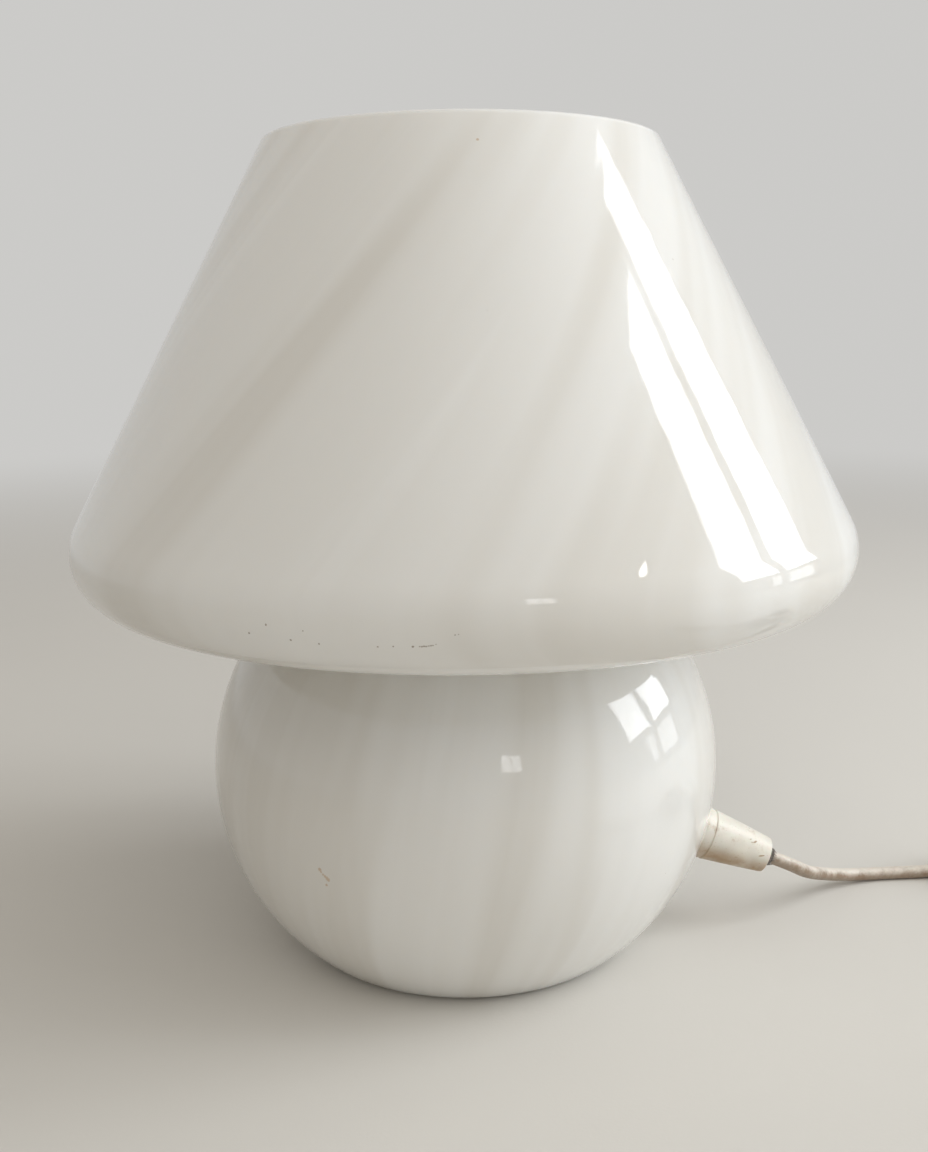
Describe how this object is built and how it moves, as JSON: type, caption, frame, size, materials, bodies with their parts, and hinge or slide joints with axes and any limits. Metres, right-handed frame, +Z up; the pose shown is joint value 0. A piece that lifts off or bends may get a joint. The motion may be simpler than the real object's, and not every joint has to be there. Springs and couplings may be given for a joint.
{
  "type": "mushroom table lamp",
  "caption": "Table lamp blown as one opal glass body, a conical shade over a ball base, with a screw bulb, side cord outlet, inline rocker switch and flat plug.",
  "frame": {"origin": "centre of the glass foot on the table", "axes": "+Z up along the lamp's axis, +X towards the cord outlet, +Y away from the picture's camera"},
  "size_m": [0.4053, 0.299, 0.2605],
  "materials": {
    "opal_glass": "glossy blown opal glass with faint swirls",
    "ivory_plastic": "aged ivory plastic",
    "white_plastic": "off-white moulded plastic",
    "black_plastic": "black phenolic",
    "zinc_steel": "zinc-plated steel",
    "spring_steel": "blued spring steel",
    "grey_sleeving": "dark grey braided sleeving",
    "steatite": "glazed steatite",
    "brass_sheet": "brass",
    "black_glass": "black glass seal",
    "bulb_aluminium": "plain aluminium",
    "bulb_opal": "opal coated bulb",
    "clear_glass": "clear glass",
    "filament_wire": "drawn wire",
    "cord_sheath": "off-white flexible sheath",
    "nickel_pins": "nickel-plated brass"
  },
  "bodies": {
    "lamp": {"glass_body": "opal_glass", "grip_bush": "ivory_plastic", "grip_washer": "zinc_steel", "grip_nut": "zinc_steel", "cord_sock": "grey_sleeving", "support_spider": "zinc_steel", "plate_clips": "spring_steel", "clip_rivets": "zinc_steel", "holder_sleeve": "black_plastic", "lock_ring": "black_plastic", "holder_cap": "black_plastic", "holder_insert": "steatite", "screw_shell": "brass_sheet", "centre_contact": "brass_sheet", "terminal_screws": "brass_sheet", "cord_nipple": "black_plastic", "grub_screw": "zinc_steel", "cord_inner": "cord_sheath", "cord_lead": "cord_sheath", "cord_link": "cord_sheath", "cord_coil": "cord_sheath", "cord_tail": "cord_sheath", "switch_base": "white_plastic", "switch_cover": "white_plastic", "rocker_pin": "zinc_steel", "switch_blades": "brass_sheet", "switch_screws": "zinc_steel", "plug_body": "white_plastic", "plug_pins": "nickel_pins"},
    "bulb_core": {"bulb_tip": "brass_sheet", "bulb_seal": "black_glass"},
    "bulb": {"bulb_cap": "bulb_aluminium", "bulb_glass": "bulb_opal", "bulb_stem": "clear_glass", "bulb_filament": "filament_wire"},
    "rocker": {"switch_rocker": "white_plastic"}
  },
  "joints": [
    {"name": "bulb_lift", "type": "slide", "parent": "lamp", "child": "bulb_core", "axis": [0, 0, 1], "range_m": [0, 0.0163]},
    {"name": "bulb_turn", "type": "hinge", "parent": "bulb_core", "child": "bulb", "pos_m": [0, 0, 0.12], "axis": [0, 0, 1], "range_deg": [0, 1620]},
    {"name": "rocker_tilt", "type": "hinge", "parent": "lamp", "child": "rocker", "pos_m": [0.219, 0.0292, 0.011], "axis": [0, -1, 0], "range_deg": [0, 14]}
  ],
  "couplings": [
    {"joint": "bulb_turn", "follows": "bulb_lift", "rad_per_m": 1731.4}
  ]
}
